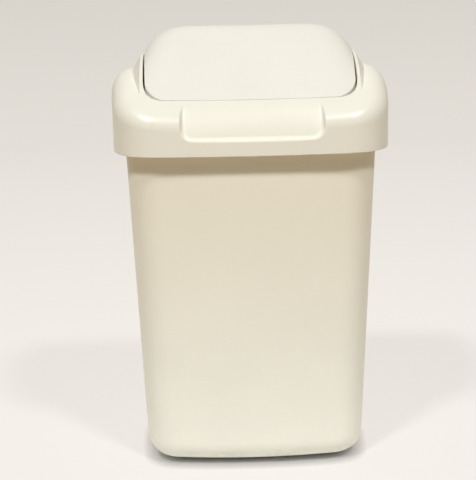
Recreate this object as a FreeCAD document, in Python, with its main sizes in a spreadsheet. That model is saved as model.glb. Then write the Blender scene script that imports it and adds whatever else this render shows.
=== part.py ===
"""Swing-top trash can: a tapered bin, a lift-off hood and an arched flap on two pivot pins.

Frame: origin on the floor at the middle of the base, +X to the right, +Y to the rear, +Z up. Millimetres.
"""

import math
import os

import FreeCAD
import Part
import Sketcher

Vector = FreeCAD.Vector
ABOUT_Y = FreeCAD.Rotation(Vector(0, 1, 0), 90)
BASE_STEPS = 6
FLAP_STEPS = 7

# Dimensions, one cell each: alias, value or formula, what it is.
DIMENSIONS = (
    ("hood_width", 335.0, "hood, overall, left to right"),
    ("hood_depth", 262.0, "hood, overall, front to back"),
    ("hood_corner", 55.0, "hood, plan radius of its corners"),
    ("side_bow", 12.0, "how far every wall bows out between its corners"),
    ("rim_height", 412.0, "height of the bin's rim, which carries the hood"),
    ("skirt_overlap", 14.0, "how far the skirt reaches below the bin's rim"),
    ("skirt_bottom", "=rim_height - skirt_overlap", "height of the skirt's lower edge"),
    ("shoulder_rise", 75.0, "how far the arched shoulder stands above the bin's rim"),
    ("shoulder_crest", "=rim_height + shoulder_rise", "height of the arched shoulder at mid depth"),
    ("shoulder_arch", 192.0, "radius of the arched shoulder, side view"),
    ("shoulder_radius", 24.0, "rounding from the skirt to the shoulder"),
    ("hood_wall", 2.4, "hood, wall thickness"),
    ("ear_rise", 18.0, "how far the arched cheeks stand above the shoulder"),
    ("ear_crest", "=shoulder_crest + ear_rise", "height of the arched cheeks at mid depth"),
    ("ear_arch", 116.5, "radius of the arched cheeks, side view"),
    ("ear_rim", 3.0, "width of a cheek's narrow rim beside the flap"),
    ("ear_lean", 31.0, "lean of a cheek's outer face, in degrees from upright"),
    ("ear_foot", 36.0, "how far a cheek's outer face reaches below its rim"),
    ("ear_edge", 1.5, "rounding along a cheek's rim"),
    ("flap_side", 41.75, "shoulder beside the flap, from the skirt's side to the flap's end"),
    ("flap_width", "=hood_width - 2 * flap_side", "flap, left to right"),
    ("flap_depth", 193.0, "flap, front edge to rear edge"),
    ("flap_sink", 28.0, "how far the flap's front and rear edges lie below the shoulder's crest"),
    ("flap_edge", "=shoulder_crest - flap_sink", "height of the flap's front and rear edges"),
    ("flap_rise", 79.0, "how far the flap's crest stands above its edges"),
    ("flap_crest", "=flap_edge + flap_rise", "height of the flap's crest"),
    ("flap_crest_radius", 60.0, "rounding of the flap's crest, side view"),
    ("flap_end_radius", 60.0, "rounding from the flap's crest to its ends, front view"),
    ("flap_end_drop", 28.0, "how far the crest falls towards the flap's ends"),
    ("flap_corner", 25.0, "plan radius of the flap's corners"),
    ("flap_wall", 2.2, "flap, wall thickness"),
    ("flap_bow", 2.0, "how far the flap's edges bow out between its corners"),
    ("flap_gap", 1.2, "gap in front of the flap and behind it"),
    ("flap_side_gap", 2.0, "gap at each end of the flap"),
    ("scoop_width", 166.0, "hand scoop in the hood's front shoulder, width"),
    ("scoop_corner", 14.0, "radius of the scoop's lower corners"),
    ("scoop_floor_round", 5.0, "rounding from the scoop's back to its ledge and walls"),
    ("scoop_rim_round", 3.0, "rounding along the scoop's rim"),
    ("scoop_lift", 19.0, "how far the scoop's ledge lies above the skirt's lower edge"),
    ("scoop_bottom", "=skirt_bottom + scoop_lift", "height of the scoop's ledge"),
    ("scoop_sink", 30.5, "how far the scoop's back runs out below the shoulder's crest"),
    ("scoop_top", "=shoulder_crest - scoop_sink", "height where the scoop's back runs out on the shoulder"),
    ("scoop_fall", 14.0, "angle between the scoop's back and the shoulder there, in degrees"),
    ("scoop_back", 92.0, "radius of the scoop's back, side view"),
    ("opening_round", 1.5, "rounding along the opening's rim"),
    ("skirt_round", 0.8, "rounding along the skirt's lower edge"),
    ("curtain_wall", 2.2, "wall that hangs round the opening, thickness"),
    ("curtain_drop", 14.0, "how far that wall reaches below the flap's edges"),
    ("pivot_rise", 33.0, "how far the swing axis lies above the flap's edges"),
    ("pivot_height", "=flap_edge + pivot_rise", "height of the flap's swing axis"),
    ("pin_radius", 4.0, "pivot pin, radius"),
    ("pin_head_radius", 6.5, "pivot pin, head radius"),
    ("pin_head", 2.5, "pivot pin, head thickness"),
    ("pin_reach", 3.0, "how far a pin stands past its cheek plate"),
    ("pin_clearance", 0.05, "running clearance of a pin in its cheek, on the radius"),
    ("seat_clearance", 0.02, "clearance of a fixed pin or bar in its seat, on the radius"),
    ("boss_radius", 8.0, "boss around a pin"),
    ("boss_length", 7.0, "length of the flap's boss around a pin"),
    ("bar_radius", 4.5, "counterweight bar, radius"),
    ("bar_drop", 38.0, "counterweight bar, distance below the swing axis"),
    ("hanger_width", 24.0, "hanger tongue that holds the bar, width"),
    ("lip_width", 9.9, "rim lip, how far it stands out"),
    ("lip_gap", 1.3, "clearance between the rim lip and the skirt round it"),
    ("bin_rim_width", "=hood_width - 2 * (hood_wall + lip_gap + lip_width)", "bin, outside width at its rim"),
    ("bin_rim_depth", "=hood_depth - 2 * (hood_wall + lip_gap + lip_width)", "bin, outside depth at its rim"),
    ("bin_taper", 15.7, "how far each wall of the bin leans in from its rim to the floor"),
    ("bin_base_width", "=bin_rim_width - 2 * bin_taper", "bin, outside width at the floor"),
    ("bin_base_depth", "=bin_rim_depth - 2 * bin_taper", "bin, outside depth at the floor"),
    ("bin_base_corner", 38.0, "bin, plan corner radius at the floor"),
    ("bin_rim_corner", 44.0, "bin, plan corner radius at its rim"),
    ("bin_base_round", 28.0, "bin, rounding from the walls to the base"),
    ("bin_wall", 2.2, "bin, wall thickness"),
    ("foot_height", 3.0, "height of the foot ring under the base"),
    ("foot_inset", 30.0, "foot ring, distance inside the wall"),
    ("foot_ring", 5.0, "foot ring, width"),
    ("lip_thickness", 3.0, "rim lip, thickness"),
    ("lip_turn", 10.0, "rim lip, depth of its turned-down edge"),
    ("lip_turn_wall", 2.0, "rim lip, wall of its turned-down edge"),
    ("rib_thickness", 2.2, "seat rib inside the hood, thickness"),
    ("rib_width", 18.0, "seat rib inside the hood, width from the skirt's outside inwards"),
    ("rib_pitch", 96.0, "seat ribs, spacing along a wall"),
)

doc = FreeCAD.newDocument("swing_top_trash_can")
sheet = doc.addObject("Spreadsheet::Sheet", "Sizes")
for row, (alias, value, meaning) in enumerate(DIMENSIONS, start=1):
    sheet.set(f"A{row}", meaning)
    sheet.set(f"B{row}", str(value))
    sheet.setAlias(f"B{row}", alias)
doc.recompute()


def size(alias):
    """The value of one cell of the sheet."""
    return float(sheet.get(alias))


def bow_radius(half_length, bow):
    """Radius of a wall that bows out by some amount over its half length."""
    return (half_length**2 + bow**2) / (2 * bow)


class BowedPlan:
    """A rounded rectangle whose four sides bow outwards: eight tangent arcs about the Z axis."""

    def __init__(self, width, depth, corner, bow):
        self.half_x, self.half_y, self.corner = width / 2, depth / 2, corner
        self.front_radius = bow_radius(self.half_x, bow)
        self.side_radius = bow_radius(self.half_y, bow)
        self.front_centre = self.front_radius - self.half_y
        self.side_centre = self.side_radius - self.half_x
        self._solve_corner()

    def _solve_corner(self):
        """Centre of the corner arc in the quadrant +X, -Y, tangent inside the front and the right arc."""
        front = Vector(0, self.front_centre, 0)
        side = Vector(-self.side_centre, 0, 0)
        reach_front = self.front_radius - self.corner
        reach_side = self.side_radius - self.corner
        span = side - front
        gap = span.Length
        along = (reach_front**2 - reach_side**2 + gap**2) / (2 * gap)
        across = math.sqrt(reach_front**2 - along**2)
        unit = span / gap
        normal = Vector(unit.y, -unit.x, 0)
        meets = [front + unit * along + normal * across * sign for sign in (1, -1)]
        centre = max(meets, key=lambda p: p.x - p.y)
        self.corner_centre = centre
        self.on_front = centre + (centre - front).normalize() * self.corner
        self.on_side = centre + (centre - side).normalize() * self.corner

    def arcs(self):
        """The eight arcs in order, anticlockwise from the front, as (start, middle, end)."""
        quarter = (self.on_side + self.on_front) / 2 - self.corner_centre
        corner_middle = self.corner_centre + quarter.normalize() * self.corner
        start, end = self.on_front, self.on_side
        front = (mirror(start, -1, 1), Vector(0, -self.half_y, 0), start)
        right = (end, Vector(self.half_x, 0, 0), mirror(end, 1, -1))
        return [
            front,
            (start, corner_middle, end),
            right,
            (mirror(end, 1, -1), mirror(corner_middle, 1, -1), mirror(start, 1, -1)),
            (mirror(start, 1, -1), Vector(0, self.half_y, 0), mirror(start, -1, -1)),
            (mirror(start, -1, -1), mirror(corner_middle, -1, -1), mirror(end, -1, -1)),
            (mirror(end, -1, -1), Vector(-self.half_x, 0, 0), mirror(end, -1, 1)),
            (mirror(end, -1, 1), mirror(corner_middle, -1, 1), mirror(start, -1, 1)),
        ]

    def wire(self, height):
        """The outline as a wire at a height."""
        lift = Vector(0, 0, height)
        return Part.Wire([Part.Arc(*(p + lift for p in arc)).toShape() for arc in self.arcs()])


def mirror(point, sign_x, sign_y):
    """A point mirrored across the YZ or the XZ plane."""
    return Vector(point.x * sign_x, point.y * sign_y, point.z)


def origin_plane(body, role):
    """One of a body's own origin planes."""
    return next(f for f in body.Origin.OriginFeatures if f.Role == role)


def plan_sketch(body, name, height, outlines):
    """A sketch at a height with one bowed outline per (width, depth, corner) expression triple."""
    sketch = body.newObject("Sketcher::SketchObject", name)
    sketch.AttachmentSupport = [(origin_plane(body, "XY_Plane"), "")]
    sketch.MapMode = "FlatFace"
    sketch.setExpression("AttachmentOffset.Base.z", height)
    for number, (width, depth, corner) in enumerate(outlines):
        bowed_outline(sketch, f"loop{number}", width, depth, corner)
    return sketch


def read(sketch, expression):
    """The number an expression on the sheet's cells gives."""
    return float(sketch.evalExpression(expression))


def bowed_outline(sketch, tag, width, depth, corner):
    """Adds one bowed outline to a sketch, its radii and centres bound to the sheet's cells."""
    plan = BowedPlan(*(read(sketch, e) for e in (width, depth, corner, "Sizes.side_bow")))
    first = sketch.GeometryCount
    for start, middle, end in plan.arcs():
        sketch.addGeometry(Part.Arc(start, middle, end), False)
    for k in range(8):
        join = (first + k, 2, first + (k + 1) % 8, 1)
        sketch.addConstraint(Sketcher.Constraint("Tangent", *join))
    bow = "Sizes.side_bow"
    sides = (
        (0, f"({width})", f"({depth})", "DistanceY", 1, -2),
        (2, f"({depth})", f"({width})", "DistanceX", -1, -1),
        (4, f"({width})", f"({depth})", "DistanceY", -1, -2),
        (6, f"({depth})", f"({width})", "DistanceX", 1, -1),
    )
    for k, along, across, kind, sign, axis in sides:
        radius = f"((({along} / 2) ^ 2 + {bow} ^ 2) / (2 * {bow}))"
        sketch.addConstraint(Sketcher.Constraint("PointOnObject", first + k, 3, axis))
        bind(sketch, f"{tag}_side{k}", radius, "Radius", first + k)
        centre = f"{sign} * ({radius} - {across} / 2)"
        bind(sketch, f"{tag}_centre{k}", centre, kind, -1, 1, first + k, 3)
    for k in (1, 3, 5, 7):
        bind(sketch, f"{tag}_corner{k}", corner, "Radius", first + k)


def bind(sketch, name, expression, kind, *where):
    """Adds a dimension to a sketch and binds it to an expression."""
    number = sketch.addConstraint(Sketcher.Constraint(kind, *where, read(sketch, expression)))
    sketch.renameConstraint(number, name)
    sketch.setExpression(f"Constraints.{name}", expression)


def prism(points, axis, low, high):
    """A prism: an outline of points, or (start, middle, end) arcs, swept along an axis from low to high."""
    edges = []
    for item in points:
        edges.append(Part.Arc(*item).toShape() if len(item) == 3 else Part.LineSegment(*item).toShape())
    face = Part.Face(Part.Wire(edges))
    face.translate(axis * low)
    return face.extrude(axis * (high - low))


def bin_body():
    """The bin: a tapered shell with a rounded base, a foot ring and a turned-down rim lip."""
    outside = tapered_body("bin_outside", "0", "Sizes.foot_height", "Sizes.rim_height")
    foot_pad(outside)
    lip_pads(outside)
    floor = "Sizes.foot_height + Sizes.bin_wall"
    cavity = tapered_body("bin_cavity", "Sizes.bin_wall", floor, "Sizes.rim_height")
    shell = doc.addObject("Part::Cut", "bin_body")
    shell.Base = outside
    shell.Tool = cavity
    return shell


def tapered_body(name, inset, low, high):
    """A tapered bowed block with a rounded base, inset from the bin's outside."""
    body = doc.addObject("PartDesign::Body", name)
    rounding = f"(Sizes.bin_base_round - ({inset}))"
    turns = [math.radians(90 * k / BASE_STEPS) for k in range(BASE_STEPS + 1)]
    levels = [(f"{low} + {rounding} * {1 - math.cos(t):.6f}", f"{inset} + {rounding} * {1 - math.sin(t):.6f}")
              for t in turns]
    levels.append((high, inset))
    sketches = [plan_sketch(body, f"{name}_level{k}", height, [bin_outline(height, inwards)])
                for k, (height, inwards) in enumerate(levels)]
    for piece, chosen, ruled in (("base", sketches[:-1], False), ("walls", sketches[-2:], True)):
        loft = body.newObject("PartDesign::AdditiveLoft", f"{name}_{piece}")
        loft.Profile = chosen[0]
        loft.Sections = chosen[1:]
        loft.Ruled = ruled
        doc.recompute()
    return body


def bin_outline(height, inwards):
    """The bin's tapered outline at a height, moved inwards: width, depth and corner expressions."""
    share = f"({height}) / Sizes.rim_height"
    ends = [f"Sizes.bin_base_{what} + (Sizes.bin_rim_{what} - Sizes.bin_base_{what}) * {share}"
            for what in ("width", "depth", "corner")]
    return (f"{ends[0]} - 2 * ({inwards})", f"{ends[1]} - 2 * ({inwards})", f"{ends[2]} - ({inwards})")


def ring_pad(body, name, height, length, outer, inner, downwards):
    """A pad of a ring between two bowed outlines."""
    sketch = plan_sketch(body, f"{name}_outline", height, [outer, inner])
    pad = body.newObject("PartDesign::Pad", name)
    pad.Profile = sketch
    pad.setExpression("Length", length)
    pad.Reversed = downwards
    doc.recompute()
    return pad


def foot_pad(body):
    """The foot ring that the bin stands on."""
    def outline(inset):
        return (f"Sizes.bin_base_width - 2 * ({inset})", f"Sizes.bin_base_depth - 2 * ({inset})",
                "Sizes.bin_base_corner * 0.6")
    overlap = "Sizes.bin_wall / 2"
    ring_pad(body, "foot", f"Sizes.foot_height + {overlap}", f"Sizes.foot_height + {overlap}",
             outline("Sizes.foot_inset"), outline("Sizes.foot_inset + Sizes.foot_ring"), True)


def lip_pads(body):
    """The rim lip: a flange at the top of the wall with a turned-down edge."""
    def outline(grow):
        return (f"Sizes.bin_rim_width + 2 * ({grow})", f"Sizes.bin_rim_depth + 2 * ({grow})",
                f"Sizes.bin_rim_corner + ({grow})")
    inside = "-Sizes.bin_wall"
    ring_pad(body, "lip", "Sizes.rim_height", "Sizes.lip_thickness",
             outline("Sizes.lip_width"), outline(inside), True)
    ring_pad(body, "lip_edge", "Sizes.rim_height", "Sizes.lip_turn",
             outline("Sizes.lip_width"), outline("Sizes.lip_width - Sizes.lip_turn_wall"), True)


def rounded(shape, radius, edges):
    """A shape with some edges rounded, or left sharp where the rounding can't be made."""
    if not edges:
        return shape
    try:
        result = shape.makeFillet(radius, edges)
    except Part.OCCError:
        return shape
    return result if result.isValid() else shape


def hood_envelope(inset):
    """The hood's outside, or the core inside it when inset by the wall."""
    block = shoulder_block(inset).fuse(cheek_arch(inset)).cut(scoop_block(inset))
    if inset:
        return block
    half = size("scoop_width") / 2 + 1
    rim = [e for e in block.Edges if e.BoundBox.YMax < -opening_half_depth()
           and e.BoundBox.XMin > -half and e.BoundBox.XMax < half
           and e.BoundBox.ZMin > size("skirt_bottom") + 1 and fold(block, e) > 8]
    return rounded(block, size("scoop_rim_round"), rim)


def fold(shape, edge):
    """Angle in degrees between the two faces that meet at the middle of an edge."""
    faces = shape.ancestorsOfType(edge, Part.Face)
    if len(faces) != 2:
        return 0
    point = edge.valueAt((edge.FirstParameter + edge.LastParameter) / 2)
    normals = [face.normalAt(*face.Surface.parameter(point)) for face in faces]
    return math.degrees(normals[0].getAngle(normals[1]))


def arch_prism(crest, radius, foot):
    """A block along X under an arch whose crest and radius are seen from the side, down to a foot height."""
    centre = crest - radius
    half = math.sqrt(radius**2 - (foot - centre) ** 2) if foot > centre else radius
    spring = max(foot, centre)
    start, end = Vector(0, -half, spring), Vector(0, half, spring)
    outline = [(start, Vector(0, 0, crest), end)]
    if foot < centre:
        outline += [(end, Vector(0, half, foot)), (Vector(0, half, foot), Vector(0, -half, foot)),
                    (Vector(0, -half, foot), start)]
    else:
        outline.append((end, start))
    return prism(outline, Vector(1, 0, 0), -size("hood_width"), size("hood_width"))


def shoulder_block(inset):
    """Skirt and shoulder: a bowed block under an arched top, its upper edge rounded over."""
    low = size("skirt_bottom") - (inset and size("hood_wall"))
    block = column(hood_plan(inset), low, size("flap_crest"))
    block = block.common(arch_prism(size("shoulder_crest") - inset, size("shoulder_arch") - inset, low))
    edges = [e for e in block.Edges if min(v.Z for v in e.Vertexes) > low + 1
             and abs(e.tangentAt(e.FirstParameter).z) < 0.95]
    return rounded(block, size("shoulder_radius") - inset, edges)


def cheek_arch(inset):
    """The arched cheeks beside the flap: a drum about a low axis, coned outside its narrow rims."""
    radius = size("ear_arch") - inset
    axis = size("ear_crest") - size("ear_arch")
    lean = math.tan(math.radians(size("ear_lean")))
    rim = opening_half_width() + size("ear_rim") - inset * (math.hypot(1, lean) - lean)
    fall = size("ear_foot")
    drum = cylinder_x(radius, -rim, rim, axis)
    ends = [(Vector(side * rim, 0, axis), Vector(side, 0, 0)) for side in (-1, 1)]
    drum = drum.fuse([Part.makeCone(radius, radius - fall, lean * fall, *end) for end in ends])
    if not inset:
        rims = [e for e in drum.Edges if abs(abs(e.CenterOfMass.x) - rim) < 1e-3 and fold(drum, e) > 20]
        drum = rounded(drum, size("ear_edge"), rims)
    foot = size("shoulder_crest") - size("shoulder_radius") * 2
    reach = rim + lean * fall + 1
    return drum.common(Part.makeBox(2 * reach, 2 * radius, radius, Vector(-reach, -radius, foot)))


def scoop_block(inset):
    """The hand scoop: a block with rounded lower corners in front of a curved back."""
    arch = size("shoulder_arch")
    slope = math.acos((size("scoop_top") - size("shoulder_crest") + arch) / arch)
    lean = slope + math.radians(size("scoop_fall"))
    meets = Vector(0, -arch * math.sin(slope), size("scoop_top"))
    axis = meets - Vector(0, -math.sin(lean), math.cos(lean)) * size("scoop_back")
    half, corner = size("scoop_width") / 2 + inset, size("scoop_corner") + inset
    low, high = size("scoop_bottom") - inset, size("shoulder_crest")
    bend = corner * (1 - math.sqrt(0.5))
    right = [Vector(half - corner, 0, low), Vector(half - bend, 0, low + bend), Vector(half, 0, low + corner),
             Vector(half, 0, high)]
    left = [mirror(p, -1, 1) for p in right]
    outline = [(left[0], right[0]), tuple(right[:3]), tuple(right[2:]), (right[3], left[3]),
               (left[3], left[2]), tuple(left[2::-1])]
    rear = -opening_half_depth() - size("opening_round")
    block = prism(outline, Vector(0, 1, 0), -size("hood_depth"), rear)
    back = size("scoop_back") - inset
    block = block.cut(Part.makeCylinder(back, 4 * half, Vector(-2 * half, axis.y, axis.z), Vector(1, 0, 0)))
    floor = [e for e in block.Edges if e.BoundBox.YMin < rear - 1
             and all(abs(math.hypot(v.Y - axis.y, v.Z - axis.z) - back) < 1e-3 for v in e.Vertexes)
             and fold(block, e) > 20]
    return rounded(block, size("scoop_floor_round") + inset, floor)


def opening_half_width():
    """Half the width of the hood's opening."""
    return size("flap_width") / 2 + size("flap_side_gap")


def opening_half_depth():
    """Half the depth of the hood's opening."""
    return size("flap_depth") / 2 + size("flap_gap")


def hood_plan(inset):
    """The skirt's plan, or the plan inside it when inset."""
    width, depth = size("hood_width") - 2 * inset, size("hood_depth") - 2 * inset
    return BowedPlan(width, depth, size("hood_corner") - inset, size("side_bow"))


def column(plan, low, high):
    """An upright block on a plan."""
    return Part.Face(plan.wire(low)).extrude(Vector(0, 0, high - low))


def cylinder_x(radius, start, end, height):
    """A cylinder along X from start to end, at a height on the XZ plane."""
    return Part.makeCylinder(radius, end - start, Vector(start, 0, height), Vector(1, 0, 0))


def opening_column(grow, low):
    """The hood's opening as an upright block, grown by a wall, from a height to above the flap."""
    plan = BowedPlan(2 * (opening_half_width() + grow), 2 * (opening_half_depth() + grow),
                     size("flap_corner") + size("flap_gap") + grow, size("flap_bow"))
    return column(plan, low, size("flap_crest") + 1)


def hood_outside():
    """The hood's outside with its opening, the rims of the opening and of the skirt rounded."""
    hole = opening_column(0, size("skirt_bottom") - 1)
    block = hood_envelope(0).cut(hole)
    sides = [face for face in hole.Faces if abs(face.normalAt(0.5, 0.5).z) < 0.5]
    rim = [e for e in block.Edges if e.BoundBox.ZMin > size("flap_edge") - size("hood_wall")
           and fold(block, e) > 15 and lies_on(e, sides)]
    block = rounded(block, size("opening_round"), rim)
    low = size("skirt_bottom")
    outline = hood_plan(0).wire(low)
    skirt = [e for e in block.Edges if e.BoundBox.ZMax < low + 1e-3 and lies_on(e, [outline])]
    return rounded(block, size("skirt_round"), skirt)


def lies_on(edge, shapes):
    """True if an edge runs along one of the shapes, or along several of them in turn."""
    span = edge.LastParameter - edge.FirstParameter
    points = [Part.Vertex(edge.valueAt(edge.FirstParameter + span * t)) for t in (0.02, 0.35, 0.5, 0.7, 0.98)]
    return all(min(shape.distToShape(p)[0] for shape in shapes) < 1e-3 for p in points)


def hood_shape():
    """The hood: a shell with an opening, a wall hanging round it, pin bosses and seat ribs."""
    wall = size("curtain_wall")
    outside = hood_outside()
    curtain = opening_column(wall, size("flap_edge") - size("curtain_drop"))
    shell = outside.cut(hood_envelope(size("hood_wall")).cut(curtain))
    start, end = opening_half_width() + wall / 2, pin_end() + wall
    bosses = [cylinder_x(size("boss_radius"), *ends, size("pivot_height"))
              for ends in ((-end, -start), (start, end))]
    middle = hood_envelope(size("hood_wall") / 2)
    shell = shell.fuse([piece.common(middle) for piece in bosses + seat_ribs()])
    hole = size("pin_radius") + size("pin_clearance")
    return shell.cut(cylinder_x(hole, -pin_end(), pin_end(), size("pivot_height")))


def pin_end():
    """Distance of the end of a pin's bore from the middle of the hood."""
    return opening_half_width() + size("curtain_wall") + size("pin_reach")


def seat_ribs():
    """Upright ribs inside the skirt that stand on the bin's rim."""
    low, high = size("rim_height"), size("shoulder_crest")
    reach_x, reach_y = size("hood_width") / 2, size("hood_depth") / 2
    thick, width, pitch = size("rib_thickness"), size("rib_width"), size("rib_pitch")
    ribs = []
    for side in (-1, 1):
        for step in (-1, 0, 1):
            start = min(side * reach_y, side * (reach_y - width))
            ribs.append(Part.makeBox(thick, width, high - low, Vector(step * pitch - thick / 2, start, low)))
        for step in (-0.5, 0.5):
            start = min(side * reach_x, side * (reach_x - width))
            ribs.append(Part.makeBox(width, thick, high - low, Vector(start, step * pitch - thick / 2, low)))
    return ribs


def tent_section(across, crest, inset):
    """The flap's outline seen from the side at a distance across: two slopes tangent to a rounded crest."""
    half = size("flap_depth") / 2
    edge = size("flap_edge")
    # A lower crest is rounder, so that every section keeps slopes of some length.
    radius = size("flap_crest_radius") * (size("flap_crest") - edge) / (crest - edge)
    centre = Vector(across, 0, crest - radius)
    foot = Vector(across, -half, edge) - centre
    turn = math.atan2(-foot.y, foot.z) - math.acos(radius / math.hypot(foot.y, foot.z))
    normal = Vector(0, -math.sin(turn), math.cos(turn))
    knee = centre + normal * (radius - inset)
    along = Vector(0, -normal.z, normal.y)
    drop = edge - (inset and size("flap_wall"))
    start = knee + along * ((drop - knee.z) / along.z)
    outline = [(start, knee), (knee, Vector(across, 0, crest - inset), mirror(knee, 1, -1)),
               (mirror(knee, 1, -1), mirror(start, 1, -1)), (mirror(start, 1, -1), start)]
    curves = [Part.Arc(*item) if len(item) == 3 else Part.LineSegment(*item) for item in outline]
    return Part.Wire([curve.toShape() for curve in curves])


def flap_envelope(inset):
    """The flap's outside, or the core inside it when inset: sections lofted from end to end."""
    half = size("flap_width") / 2
    radius, fall = size("flap_end_radius"), size("flap_end_drop")
    run = math.sqrt(radius**2 - (radius - fall) ** 2)
    level = half - run
    stations = [-half + run * k / FLAP_STEPS for k in range(FLAP_STEPS)]
    stations += [-level * 0.97, -level / 2, level / 2, level * 0.97]
    stations += [half - run * k / FLAP_STEPS for k in reversed(range(FLAP_STEPS))]
    sections = []
    for across in stations:
        beyond = max(0, abs(across) - level)
        crest = size("flap_crest") - radius + math.sqrt(radius**2 - beyond**2)
        sections.append(tent_section(across * (half - inset) / half, crest, inset))
    tent = Part.makeLoft(sections, True, False)
    return tent.common(flap_column(inset))


def flap_column(inset):
    """The flap's plan as an upright block; the core inside it runs out through the front and rear edges."""
    plan = BowedPlan(size("flap_width") - 2 * inset, size("flap_depth") + inset, size("flap_corner") - inset,
                     size("flap_bow"))
    return column(plan, size("flap_edge") - size("flap_corner"), size("flap_crest") + 1)


def flap_shape():
    """The flap: an arched shell with closed ends, pin bosses and hangers for the counterweight bar."""
    wall = size("flap_wall")
    shell = flap_envelope(0).cut(flap_envelope(wall))
    half = size("flap_width") / 2
    axis = size("pivot_height")
    bar = axis - size("bar_drop")
    width = size("hanger_width")
    added = []
    for side in (-1, 1):
        start, end = sorted((side * (half + 1), side * (half - wall)))
        boss = sorted((side * (half + 1), side * (half - size("boss_length"))))
        added.append(cylinder_x(size("boss_radius"), *boss, axis))
        added.append(Part.makeBox(end - start, width, axis - bar, Vector(start, -width / 2, bar)))
        added.append(cylinder_x(width / 2, start, end, bar))
    reach = column(BowedPlan(size("flap_width"), size("flap_depth"), size("flap_corner"), size("flap_bow")),
                   bar - width, size("flap_crest"))
    shell = shell.fuse([piece.common(reach) for piece in added])
    for radius, height in ((size("pin_radius"), axis), (size("bar_radius"), bar)):
        shell = shell.cut(cylinder_x(radius + size("seat_clearance"), -half - 1, half + 1, height))
    return shell.removeSplitter()


def shape_feature(name, shape):
    """A document object that holds a shape."""
    feature = doc.addObject("Part::Feature", name)
    feature.Shape = shape
    return feature


def pivot_pin(name, side):
    """A headed pin, pushed through the flap's boss into the cheek plate: shaft and head along X."""
    head_end = "(Sizes.flap_width / 2 - Sizes.boss_length)"
    tip = "(Sizes.flap_width / 2 + Sizes.flap_side_gap + Sizes.curtain_wall + Sizes.pin_reach)"
    shaft = doc.addObject("Part::Cylinder", f"{name}_shaft")
    shaft.setExpression("Radius", "Sizes.pin_radius")
    shaft.setExpression("Height", f"{tip} - {head_end}")
    head = doc.addObject("Part::Cylinder", f"{name}_head")
    head.setExpression("Radius", "Sizes.pin_head_radius")
    head.setExpression("Height", "Sizes.pin_head")
    starts = {shaft: head_end, head: f"{head_end} - Sizes.pin_head"}
    lengths = {shaft: f"{tip} - {head_end}", head: "Sizes.pin_head"}
    for piece, start in starts.items():
        piece.Placement = FreeCAD.Placement(Vector(), ABOUT_Y)
        left = f"-({start}) - ({lengths[piece]})"
        piece.setExpression("Placement.Base.x", start if side > 0 else left)
        piece.setExpression("Placement.Base.z", "Sizes.pivot_height")
    pin = doc.addObject("Part::Fuse", name)
    pin.Base = shaft
    pin.Tool = head
    return pin


def counterweight_bar():
    """A steel bar under the swing axis that brings the flap back to closed."""
    bar = doc.addObject("Part::Cylinder", "counterweight_bar")
    bar.setExpression("Radius", "Sizes.bar_radius")
    bar.setExpression("Height", "Sizes.flap_width")
    bar.Placement = FreeCAD.Placement(Vector(), ABOUT_Y)
    bar.setExpression("Placement.Base.x", "-Sizes.flap_width / 2")
    bar.setExpression("Placement.Base.z", "Sizes.pivot_height - Sizes.bar_drop")
    return bar


def write_parts(pieces):
    """Checks every object of the document and writes each piece to its own file."""
    doc.recompute()
    for item in doc.Objects:
        if "Invalid" in item.State or "Error" in item.State:
            raise RuntimeError(f"{item.Label} failed: {item.State}")
    os.makedirs("parts", exist_ok=True)
    for piece in pieces:
        shape = piece.Shape
        if shape.isNull() or not shape.isValid() or len(shape.Solids) != 1:
            raise RuntimeError(f"{piece.Label} is not one valid solid")
        shape.exportStep(f"parts/{piece.Label}.step")
        print(f"{piece.Label}: {shape.Volume / 1000:.1f} cm3")


write_parts([
    bin_body(),
    shape_feature("hood", hood_shape()),
    shape_feature("flap", flap_shape()),
    pivot_pin("left_pivot_pin", -1),
    pivot_pin("right_pivot_pin", 1),
    counterweight_bar(),
])
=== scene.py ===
"""Dresses the swing-top trash can in plastics and steel, with a plain studio round it."""

import math

import bmesh
import bpy
from bpy.props import FloatProperty, FloatVectorProperty, PointerProperty
from mathutils import Matrix, Vector


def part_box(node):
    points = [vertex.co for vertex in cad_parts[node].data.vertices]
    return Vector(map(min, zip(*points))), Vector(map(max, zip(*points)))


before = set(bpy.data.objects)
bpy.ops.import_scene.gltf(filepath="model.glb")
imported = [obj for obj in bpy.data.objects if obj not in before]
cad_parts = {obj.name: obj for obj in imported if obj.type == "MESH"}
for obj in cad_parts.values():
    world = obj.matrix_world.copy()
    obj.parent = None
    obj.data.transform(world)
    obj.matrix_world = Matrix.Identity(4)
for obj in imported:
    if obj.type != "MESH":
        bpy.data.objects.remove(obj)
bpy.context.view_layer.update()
RIM_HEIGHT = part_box("bin_body")[1].z
SKIRT_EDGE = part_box("hood")[0].z

# Heights, in metres, between which a mark, a painted shade or a painted light on the plastic comes
# in or goes out.
SCUFF_OUT = (0.004, 0.03)
# Painted shade: the bin grows darker and warmer from this height up to its rim.
PAINTED_RIM_SHADE_IN = (0.12, RIM_HEIGHT - 0.002)
# Painted shadow: a warm dark band on the bin just below the hood's skirt, where the skirt casts its
# shadow.
PAINTED_SHADOW_IN = (SKIRT_EDGE - 0.028, SKIRT_EDGE - 0.013)
PAINTED_SHADOW_OUT = (SKIRT_EDGE - 0.002, SKIRT_EDGE + 0.004)
# Painted light: the hood's lower skirt is paler than its shoulder.
PAINTED_LIGHT_SKIRT_IN = (SKIRT_EDGE + 0.057, SKIRT_EDGE + 0.027)

# Depths of relief, in metres.
BIN_SINK = 0.0006
HOOD_SINK = 0.0005
ORANGE_PEEL = 0.00004
PIN_WEAR = 0.00003
DRAWN_LINES = 0.00003

PLASTIC_IOR = 1.49
PAPER_ROUGHNESS = 0.85
FLOOR_SIDES = 96
CONTACT_SAMPLES = 16
# Distances from the can, in metres, between which the floor is seen to fade.
FLOOR_SEEN_FADE = (0.2, 2.4)
# Height of the camera's frame, in millimetres.
SENSOR_HEIGHT = 36

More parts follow.
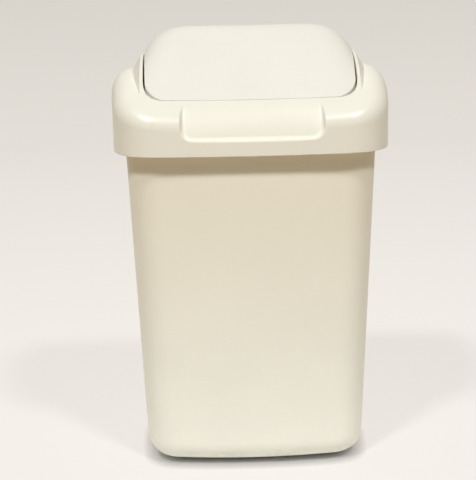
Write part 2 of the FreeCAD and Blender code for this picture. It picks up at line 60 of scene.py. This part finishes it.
# Sockets of a colour mix, by number because its other data types use the same names.
MIX_FACTOR = 0
MIX_FIRST = 6
MIX_SECOND = 7
MIX_RESULT = 2

bl_info = {
    "name": "Swing-Top Trash Can",
    "version": (1, 0, 0),
    "blender": (4, 5, 0),
    "location": "3D View > Sidebar > Trash Can",
    "description": "Finishes the swing-top trash can and sets a plain studio round it",
    "category": "Object",
}


class PlasticSettings(bpy.types.PropertyGroup):
    """Colours and surface of the mouldings."""

    bin_colour: FloatVectorProperty(
        name="Bin", description="Colour of the bin's plastic",
        subtype="COLOR", size=4, min=0, max=1, default=(0.885, 0.878, 0.78, 1))
    hood_colour: FloatVectorProperty(
        name="Hood", description="Colour of the hood's plastic",
        subtype="COLOR", size=4, min=0, max=1, default=(0.81, 0.806, 0.72, 1))
    flap_colour: FloatVectorProperty(
        name="Flap", description="Colour of the flap's plastic",
        subtype="COLOR", size=4, min=0, max=1, default=(0.785, 0.781, 0.722, 1))
    # Painted shade, not yellowing: this tint darkens and warms the bin towards its rim.
    painted_rim_shade_tint: FloatVectorProperty(
        name="Rim Shade Tint", description="Tint that the bin's plastic has yellowed to at its rim",
        subtype="COLOR", size=4, min=0, max=1, default=(1, 0.975, 0.925, 1))
    # Painted shadow, not grime: this tint darkens the band on the bin where the skirt's shadow
    # falls.
    painted_skirt_shadow_tint: FloatVectorProperty(
        name="Skirt Shadow Tint", description="Tint of the bin just below the hood's skirt",
        subtype="COLOR", size=4, min=0, max=1, default=(0.95, 0.89, 0.79, 1))
    # Painted light, not wear: the hood's lower skirt is made paler than its shoulder.
    skirt_painted_light: FloatProperty(
        name="Skirt Light", description="How much paler the hood's skirt is than its shoulder",
        min=1, max=1.2, default=1.07)
    grain_size: FloatProperty(
        name="Grain", description="Size of the fine grain on the bin",
        subtype="DISTANCE", unit="LENGTH", min=0.0002, max=0.005, default=0.0011)
    grain_depth: FloatProperty(
        name="Grain Depth", description="Depth of the fine grain on the bin",
        subtype="DISTANCE", unit="LENGTH", min=0, max=0.001, default=0.00008)
    bin_roughness: FloatProperty(
        name="Bin Roughness", description="Roughness of the bin between its marks",
        subtype="FACTOR", min=0, max=1, default=0.5)
    hood_roughness: FloatProperty(
        name="Hood Roughness", description="Roughness of the hood and flap between their marks",
        subtype="FACTOR", min=0, max=1, default=0.34)


class StageSettings(bpy.types.PropertyGroup):
    """Studio floor, lamps and camera."""

    floor_radius: FloatProperty(
        name="Floor Radius", description="Radius of the floor",
        subtype="DISTANCE", unit="LENGTH", min=1, default=30)
    floor_colour: FloatVectorProperty(
        name="Floor", description="Colour in which the floor near the can scatters light",
        subtype="COLOR", size=4, min=0, max=1, default=(0.88, 0.87, 0.85, 1))
    floor_edge_colour: FloatVectorProperty(
        name="Floor Edge", description="Colour in which the floor far from the can scatters light",
        subtype="COLOR", size=4, min=0, max=1, default=(0.40, 0.29, 0.17, 1))
    floor_near: FloatProperty(
        name="Floor Near", description="Distance at which the scattering colour starts to change",
        subtype="DISTANCE", unit="LENGTH", min=0, default=0.3)
    floor_far: FloatProperty(
        name="Floor Far", description="Distance at which the scattering colour has changed",
        subtype="DISTANCE", unit="LENGTH", min=0.1, default=0.95)
    floor_shade: FloatProperty(
        name="Floor Shade", description="Share of the paper's colour that is seen lit and shaded",
        subtype="FACTOR", min=0, max=1, default=0.27)
    contact_reach: FloatProperty(
        name="Contact Shadow",
        description="How far the can's contact shadow reaches over the floor",
        subtype="DISTANCE", unit="LENGTH", min=0.001, default=0.02)
    backdrop_colour: FloatVectorProperty(
        name="Backdrop", description="Colour that the paper is seen in near the can",
        subtype="COLOR", size=4, min=0, max=1, default=(1, 0.965, 0.91, 1))
    backdrop_edge_colour: FloatVectorProperty(
        name="Backdrop Edge", description="Colour that the paper's far edge is seen in",
        subtype="COLOR", size=4, min=0, max=1, default=(0.87, 0.835, 0.775, 1))
    backdrop_strength: FloatProperty(
        name="Backdrop Strength",
        description="How bright the paper is seen without light, 1 being white",
        min=0, max=1, default=0.63)
    horizon_strength: FloatProperty(
        name="Horizon Strength",
        description="How bright the far edge is seen above the floor, 1 being white",
        min=0, max=1, default=0.72)
    lamp_place: FloatVectorProperty(
        name="Lamps", description="Place of the lamps: to each side, in front and above",
        subtype="TRANSLATION", unit="LENGTH", size=3, default=(2.8, 4.3, 7.26))
    lamp_width: FloatProperty(
        name="Lamp Width", description="Width of each lamp",
        subtype="DISTANCE", unit="LENGTH", min=0.05, default=1.0)
    left_power: FloatProperty(
        name="Left Lamp", description="Power of the lamp on the left",
        subtype="POWER", unit="POWER", min=0, default=400)
    right_power: FloatProperty(
        name="Right Lamp", description="Power of the lamp on the right",
        subtype="POWER", unit="POWER", min=0, default=326)
    sky_colour: FloatVectorProperty(
        name="Sky", description="Colour of the soft light from the front",
        subtype="COLOR", size=4, min=0, max=1, default=(1, 0.8, 0.55, 1))
    sky_strength: FloatProperty(
        name="Sky Strength", description="Strength of the soft light from the front",
        min=0, max=2, default=0.12)
    rear_colour: FloatVectorProperty(
        name="Rear Sky", description="Colour of the soft light from behind",
        subtype="COLOR", size=4, min=0, max=1, default=(1, 0.97, 0.92, 1))
    rear_strength: FloatProperty(
        name="Rear Strength", description="Strength of the soft light from behind",
        min=0, max=2, default=0.85)
    camera_distance: FloatProperty(
        name="Distance", description="Distance from the camera to its target",
        subtype="DISTANCE", unit="LENGTH", min=0.5, default=1.6)
    camera_pitch: FloatProperty(
        name="Pitch", description="How far the camera looks down",
        subtype="ANGLE", unit="ROTATION", default=math.radians(14))
    camera_yaw: FloatProperty(
        name="Yaw", description="How far the camera looks to the right",
        subtype="ANGLE", unit="ROTATION", default=math.radians(1.4))
    camera_roll: FloatProperty(
        name="Roll", description="How far the camera is tipped sideways",
        subtype="ANGLE", unit="ROTATION", default=math.radians(-1.1))
    camera_target: FloatVectorProperty(
        name="Target", description="Point in the middle of the picture",
        subtype="TRANSLATION", unit="LENGTH", size=3, default=(-0.0163, 0, 0.2668))
    focal_length: FloatProperty(
        name="Focal Length", description="Focal length on a frame 36 mm high",
        min=20, max=400, default=93.98)


class NodeBoard:
    """A material's node tree, with short calls to add and join nodes."""

    def __init__(self, name):
        self.material = bpy.data.materials.new(name)
        self.material.use_nodes = True
        self.tree = self.material.node_tree
        self.tree.nodes.clear()
        self.shader = self.add("ShaderNodeBsdfPrincipled")
        self.output = self.add("ShaderNodeOutputMaterial")
        self.join(self.shader, "BSDF", self.output, "Surface")
        self.place = self.add("ShaderNodeTexCoord")

    def add(self, kind, **values):
        """A new node; each value goes to the input or the property of that name."""
        node = self.tree.nodes.new(kind)
        for key, value in values.items():
            label = key.replace("_", " ").title()
            if label in node.inputs:
                node.inputs[label].default_value = value
            else:
                setattr(node, key, value)
        return node

    def join(self, source, output, target, socket):
        """A link from an output to a socket, each by name or number."""
        self.tree.links.new(source.outputs[output], target.inputs[socket])

    def height(self):
        """Object coordinates split up, with the height above the floor as Z."""
        parts = self.add("ShaderNodeSeparateXYZ")
        self.join(self.place, "Object", parts, "Vector")
        return parts

    def noise(self, scale, detail=2.0, roughness=0.5, stretch=(1, 1, 1)):
        """Noise in object space, with the coordinates scaled on each axis."""
        mapping = self.add("ShaderNodeMapping", scale=stretch)
        self.join(self.place, "Object", mapping, "Vector")
        texture = self.add("ShaderNodeTexNoise", scale=scale, detail=detail, roughness=roughness)
        self.join(mapping, "Vector", texture, "Vector")
        return texture

    def spread(self, source, output, low, high, start=0.3, end=0.7):
        """A value between low and high, as the source goes from start to end."""
        span = self.add(
            "ShaderNodeMapRange", from_min=start, from_max=end, to_min=low, to_max=high)
        self.join(source, output, span, "Value")
        return span

    def band(self, height, low, high, heights):
        """A value that goes from low to high between two heights."""
        return self.spread(height, "Z", low, high, *heights)

    def tint(self, source, output, first, second):
        """A colour between two, by the source."""
        mix = self.add("ShaderNodeMix", data_type="RGBA")
        mix.inputs[MIX_FIRST].default_value = first
        mix.inputs[MIX_SECOND].default_value = second
        self.join(source, output, mix, MIX_FACTOR)
        return mix

    def overlay(self, base, source, output, colour):
        """A colour laid over a tint, by the source."""
        mix = self.tint(source, output, colour, colour)
        self.join(base, MIX_RESULT, mix, MIX_FIRST)
        return mix

    def product(self, first, second):
        """The product of two spreads."""
        both = self.add("ShaderNodeMath", operation="MULTIPLY")
        self.join(first, "Result", both, 0)
        self.join(second, "Result", both, 1)
        return both

    def colour_from(self, mix):
        """Takes the shader's colour from a tint."""
        self.join(mix, MIX_RESULT, self.shader, "Base Color")

    def roughness_from(self, span):
        """Takes the shader's roughness from a spread."""
        self.join(span, "Result", self.shader, "Roughness")

    def relief(self, layers):
        """Bumps, one on top of the other: (noise, depth, strength)."""
        below = None
        for noise, depth, strength in layers:
            bump = self.add("ShaderNodeBump", distance=depth, strength=strength)
            self.join(noise, "Fac", bump, "Height")
            if below:
                self.join(below, "Normal", bump, "Normal")
            below = bump
        self.join(below, "Normal", self.shader, "Normal")


def shade(colour, factor):
    """A colour made lighter or darker."""
    return (*(min(1.0, c * factor) for c in colour[:3]), 1)


def multiplied(colour, tint):
    """A colour seen through a tint."""
    return (*(c * t for c, t in zip(colour[:3], tint[:3])), 1)


def grained_plastic(settings):
    """The bin: grained satin plastic, scuffed at its foot, with painted shade making it darker and
    warmer towards its rim and a painted shadow band just below the hood's skirt.
    """
    board = NodeBoard("grained_beige_plastic")
    colour = settings.bin_colour
    dark_cloud = shade(colour, 0.975)
    pale_cloud = shade(colour, 1.02)
    speck_colour = shade(colour, 0.94)
    scuff_colour = shade(colour, 0.72)
    height = board.height()

    cloud = board.spread(board.noise(scale=9, detail=3), "Fac", low=0, high=1)
    tone = board.tint(cloud, "Result", dark_cloud, pale_cloud)
    speck = board.noise(scale=520, detail=1)
    speckle = board.spread(speck, "Fac", low=0, high=0.35, start=0.5, end=0.75)
    tone = board.overlay(tone, speckle, "Result", speck_colour)
    # Painted shade: the bin darker and warmer towards its rim.
    darkened = board.band(height, 0, 1, PAINTED_RIM_SHADE_IN)
    tone = board.overlay(tone, darkened, "Result", multiplied(colour, settings.painted_rim_shade_tint))
    # Painted shadow: a warm dark band on the bin just below the hood's skirt.
    skirt_shadow_mask = board.product(board.band(height, 0, 1, PAINTED_SHADOW_IN), board.band(height, 1, 0, PAINTED_SHADOW_OUT))
    tone = board.overlay(tone, skirt_shadow_mask, "Value", multiplied(colour, settings.painted_skirt_shadow_tint))
    low = board.band(height, 0.5, 0, SCUFF_OUT)
    rub = board.noise(scale=60, detail=4, roughness=0.65)
    rubbed = board.spread(rub, "Fac", low=0, high=1, start=0.5, end=0.7)
    tone = board.overlay(tone, board.product(low, rubbed), "Value", scuff_colour)
    board.colour_from(tone)

    flow = board.noise(scale=14, detail=3, stretch=(1, 1, 0.08))
    glossy = settings.bin_roughness - 0.05
    dull = settings.bin_roughness + 0.06
    board.roughness_from(board.spread(flow, "Fac", low=glossy, high=dull))
    grain = board.noise(scale=1 / settings.grain_size, detail=2, roughness=0.6)
    sink = board.noise(scale=11, detail=1)
    board.relief([(sink, BIN_SINK, 0.25), (grain, settings.grain_depth, 0.9)])
    board.shader.inputs["IOR"].default_value = PLASTIC_IOR
    return board.material


def smooth_plastic(name, colour, roughness, skirt_painted_light=1.0):
    """Hood and flap: smooth semi-gloss plastic with faint orange peel and hairline marks."""
    board = NodeBoard(name)
    dark_cloud = shade(colour, 0.985)
    pale_cloud = shade(colour, 1.015)
    fleck_colour = shade(colour, 0.93)

    cloud = board.spread(board.noise(scale=7, detail=2), "Fac", low=0, high=1)
    tone = board.tint(cloud, "Result", dark_cloud, pale_cloud)
    # Painted light: the lower skirt is paler than the shoulder.
    if skirt_painted_light > 1:
        skirt_light_mask = board.band(board.height(), 0, 1, PAINTED_LIGHT_SKIRT_IN)
        tone = board.overlay(tone, skirt_light_mask, "Result", shade(colour, skirt_painted_light))
    dust = board.noise(scale=260, detail=2)
    fleck = board.spread(dust, "Fac", low=0, high=0.5, start=0.66, end=0.78)
    board.colour_from(board.overlay(tone, fleck, "Result", fleck_colour))

    hair = board.noise(scale=90, detail=3, stretch=(0.12, 1, 1))
    glossy = roughness - 0.05
    dull = roughness + 0.08
    board.roughness_from(board.spread(hair, "Fac", low=glossy, high=dull))
    peel = board.noise(scale=240, detail=1)
    sink = board.noise(scale=14, detail=1)
    board.relief([(sink, HOOD_SINK, 0.2), (peel, ORANGE_PEEL, 0.5)])
    board.shader.inputs["IOR"].default_value = PLASTIC_IOR
    return board.material


def pin_plastic(colour):
    """Pivot pins: plain waxy plastic with faint wear in patches."""
    board = NodeBoard("waxy_pin_plastic")
    wear = board.noise(scale=420, detail=2, stretch=(6, 1, 1))
    worn = board.spread(wear, "Fac", low=0, high=1)
    board.colour_from(board.tint(worn, "Result", shade(colour, 0.9), shade(colour, 1.0)))
    board.roughness_from(board.spread(wear, "Fac", low=0.3, high=0.45))
    board.relief([(wear, PIN_WEAR, 0.5)])
    return board.material


def drawn_steel():
    """Counterweight bar: drawn steel with fine lines along it and a little dark bloom."""
    board = NodeBoard("drawn_steel")
    dark_steel = (0.42, 0.42, 0.43, 1)
    bright_steel = (0.62, 0.62, 0.63, 1)
    bloom_colour = (0.2, 0.17, 0.15, 1)
    line = board.noise(scale=900, detail=2, stretch=(0.02, 1, 1))
    drawn = board.spread(line, "Fac", low=0, high=1)
    tone = board.tint(drawn, "Result", dark_steel, bright_steel)
    bloom = board.noise(scale=70, detail=4)
    spots = board.spread(bloom, "Fac", low=0, high=0.6, start=0.58, end=0.75)
    board.colour_from(board.overlay(tone, spots, "Result", bloom_colour))
    board.shader.inputs["Metallic"].default_value = 1.0
    board.roughness_from(board.spread(line, "Fac", low=0.22, high=0.4))
    board.relief([(line, DRAWN_LINES, 0.6)])
    return board.material


def dress(node_name, material):
    """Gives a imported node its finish."""
    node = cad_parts[node_name]
    node.data.materials.clear()
    node.data.materials.append(material)


class TRASHCAN_OT_finish_bin(bpy.types.Operator):
    """Finish the bin in grained plastic"""

    bl_idname = "trashcan.finish_bin"
    bl_label = "Finish Bin"

    def execute(self, context):
        dress("bin_body", grained_plastic(context.scene.can_plastic))
        return {"FINISHED"}


class TRASHCAN_OT_finish_hood(bpy.types.Operator):
    """Finish the hood in smooth plastic"""

    bl_idname = "trashcan.finish_hood"
    bl_label = "Finish Hood"

    def execute(self, context):
        plastic = context.scene.can_plastic
        # The hood's lower skirt is painted paler, as painted light.
        finish = smooth_plastic(
            "smooth_cream_hood", plastic.hood_colour, plastic.hood_roughness, plastic.skirt_painted_light)
        dress("hood", finish)
        return {"FINISHED"}


class TRASHCAN_OT_finish_flap(bpy.types.Operator):
    """Finish the flap, its pins and its counterweight"""

    bl_idname = "trashcan.finish_flap"
    bl_label = "Finish Flap"

    def execute(self, context):
        plastic = context.scene.can_plastic
        finish = smooth_plastic("smooth_cream_flap", plastic.flap_colour, plastic.hood_roughness)
        dress("flap", finish)
        pin = pin_plastic(plastic.hood_colour)
        dress("left_pivot_pin", pin)
        dress("right_pivot_pin", pin)
        dress("counterweight_bar", drawn_steel())
        return {"FINISHED"}


def floor_sheet(radius):
    """A wide round sheet that the can stands on."""
    sheet = bmesh.new()
    bmesh.ops.create_circle(sheet, cap_ends=True, segments=FLOOR_SIDES, radius=radius)
    mesh = bpy.data.meshes.new("floor")
    sheet.to_mesh(mesh)
    sheet.free()
    return bpy.data.objects.new("floor", mesh)


def seen_directly(tree):
    """A value of 1 for rays from the camera, mirrors and glass, 0 for scattered light."""
    path = tree.nodes.new("ShaderNodeLightPath")
    seen = path.outputs["Is Camera Ray"]
    for kind in ("Is Glossy Ray", "Is Transmission Ray"):
        either = tree.nodes.new("ShaderNodeMath")
        either.operation = "MAXIMUM"
        tree.links.new(seen, either.inputs[0])
        tree.links.new(path.outputs[kind], either.inputs[1])
        seen = either.outputs["Value"]
    return seen


def pale_paper(settings):
    """The floor's paper: seen nearly white, with light scattered browner far from the can."""
    board = NodeBoard("pale_paper")
    away = board.add("ShaderNodeVectorMath", operation="LENGTH")
    board.join(board.place, "Object", away, "Vector")
    fade = board.spread(away, "Value", 0, 1, settings.floor_near, settings.floor_far)
    board.colour_from(
        board.tint(fade, "Result", settings.floor_colour, settings.floor_edge_colour))
    board.shader.inputs["Roughness"].default_value = PAPER_ROUGHNESS
    bright = board.add("ShaderNodeBsdfPrincipled", roughness=PAPER_ROUGHNESS)
    bright.inputs["Base Color"].default_value = shade(settings.floor_colour, settings.floor_shade)
    distance = board.spread(away, "Value", 0, 1, *FLOOR_SEEN_FADE)
    seen = board.tint(distance, "Result", settings.backdrop_colour, settings.backdrop_edge_colour)
    board.join(seen, MIX_RESULT, bright, "Emission Color")
    contact = board.add(
        "ShaderNodeAmbientOcclusion", samples=CONTACT_SAMPLES, distance=settings.contact_reach)
    glow = board.spread(contact, "AO", 0, settings.backdrop_strength, start=0, end=1)
    board.join(glow, "Result", bright, "Emission Strength")
    choice = board.add("ShaderNodeMixShader")
    board.tree.links.new(seen_directly(board.tree), choice.inputs[0])
    board.join(board.shader, "BSDF", choice, 1)
    board.join(bright, "BSDF", choice, 2)
    board.join(choice, "Shader", board.output, "Surface")
    return board.material


def sky(settings):
    """Soft light, more of it from behind; seen directly, it looks like the floor's far edge."""
    world = bpy.data.worlds.new("sky")
    world.use_nodes = True
    tree = world.node_tree
    light = tree.nodes["Background"]
    way = tree.nodes.new("ShaderNodeTexCoord")
    parts = tree.nodes.new("ShaderNodeSeparateXYZ")
    tree.links.new(way.outputs["Generated"], parts.inputs["Vector"])
    rise = tree.nodes.new("ShaderNodeMapRange")
    rise.inputs["To Min"].default_value = settings.sky_strength
    rise.inputs["To Max"].default_value = settings.rear_strength
    tree.links.new(parts.outputs["Y"], rise.inputs["Value"])
    tree.links.new(rise.outputs["Result"], light.inputs["Strength"])
    blend = tree.nodes.new("ShaderNodeMix")
    blend.data_type = "RGBA"
    blend.inputs[MIX_FIRST].default_value = settings.sky_colour
    blend.inputs[MIX_SECOND].default_value = settings.rear_colour
    tree.links.new(parts.outputs["Y"], blend.inputs[MIX_FACTOR])
    tree.links.new(blend.outputs[MIX_RESULT], light.inputs["Color"])
    far = tree.nodes.new("ShaderNodeBackground")
    far.inputs["Color"].default_value = settings.backdrop_edge_colour
    far.inputs["Strength"].default_value = settings.horizon_strength
    choice = tree.nodes.new("ShaderNodeMixShader")
    tree.links.new(seen_directly(tree), choice.inputs[0])
    tree.links.new(light.outputs["Background"], choice.inputs[1])
    tree.links.new(far.outputs["Background"], choice.inputs[2])
    tree.links.new(choice.outputs["Shader"], tree.nodes["World Output"].inputs["Surface"])
    return world


def lamp(name, power, width, where, target):
    """A square lamp that points at a target."""
    light = bpy.data.lights.new(name, "AREA")
    light.energy = power
    light.size = width
    holder = bpy.data.objects.new(name, light)
    bpy.context.scene.collection.objects.link(holder)
    holder.location = where
    aim = Vector(target) - Vector(where)
    holder.rotation_euler = aim.to_track_quat("-Z", "Y").to_euler()


def photo_camera(settings):
    """A camera at the picture's viewing angle."""
    pitch, yaw, roll = settings.camera_pitch, settings.camera_yaw, settings.camera_roll
    level_ahead = Vector((math.sin(yaw), math.cos(yaw), 0))
    ahead = level_ahead * math.cos(pitch) - Vector((0, 0, math.sin(pitch)))
    level = Vector((math.cos(yaw), -math.sin(yaw), 0))
    up = level.cross(ahead)
    right = level * math.cos(roll) + up * math.sin(roll)
    top = up * math.cos(roll) - level * math.sin(roll)
    spot = Vector(settings.camera_target) - ahead * settings.camera_distance
    data = bpy.data.cameras.new("camera")
    data.sensor_fit = "VERTICAL"
    data.sensor_height = SENSOR_HEIGHT
    data.lens = settings.focal_length
    camera = bpy.data.objects.new("camera", data)
    turn = Matrix((right, top, -ahead)).transposed().to_4x4()
    camera.matrix_world = Matrix.Translation(spot) @ turn
    return camera


class TRASHCAN_OT_build_stage(bpy.types.Operator):
    """Set a plain floor, lamps and the camera"""

    bl_idname = "trashcan.build_stage"
    bl_label = "Build Stage"

    def execute(self, context):
        scene = context.scene
        stage = scene.can_stage
        sheet = floor_sheet(stage.floor_radius)
        sheet.data.materials.append(pale_paper(stage))
        scene.collection.objects.link(sheet)
        across, ahead, above = stage.lamp_place
        lamps = (("left_lamp", stage.left_power, -across), ("right_lamp", stage.right_power, across))
        for name, power, aside in lamps:
            lamp(name, power, stage.lamp_width, (aside, -ahead, above), stage.camera_target)
        scene.world = sky(stage)
        camera = photo_camera(stage)
        scene.collection.objects.link(camera)
        scene.camera = camera
        scene.view_settings.view_transform = "Standard"
        return {"FINISHED"}


class TRASHCAN_PT_sidebar(bpy.types.Panel):
    """The trash can's settings and steps"""

    bl_idname = "TRASHCAN_PT_sidebar"
    bl_label = "Swing-Top Trash Can"
    bl_space_type = "VIEW_3D"
    bl_region_type = "UI"
    bl_category = "Trash Can"

    def draw(self, context):
        layout = self.layout
        layout.use_property_split = True
        for group in (context.scene.can_plastic, context.scene.can_stage):
            box = layout.box()
            for key in group.__annotations__:
                box.prop(group, key)
        for step in STEPS:
            layout.operator(step.bl_idname)


STEPS = (
    TRASHCAN_OT_finish_bin,
    TRASHCAN_OT_finish_hood,
    TRASHCAN_OT_finish_flap,
    TRASHCAN_OT_build_stage,
)
CLASSES = (PlasticSettings, StageSettings, *STEPS, TRASHCAN_PT_sidebar)


def register():
    for item in CLASSES:
        bpy.utils.register_class(item)
    bpy.types.Scene.can_plastic = PointerProperty(type=PlasticSettings)
    bpy.types.Scene.can_stage = PointerProperty(type=StageSettings)


def unregister():
    del bpy.types.Scene.can_stage
    del bpy.types.Scene.can_plastic
    for item in reversed(CLASSES):
        bpy.utils.unregister_class(item)


def main():
    register()
    bpy.ops.trashcan.finish_bin()
    bpy.ops.trashcan.finish_hood()
    bpy.ops.trashcan.finish_flap()
    bpy.ops.trashcan.build_stage()


if __name__ == "__main__":
    main()
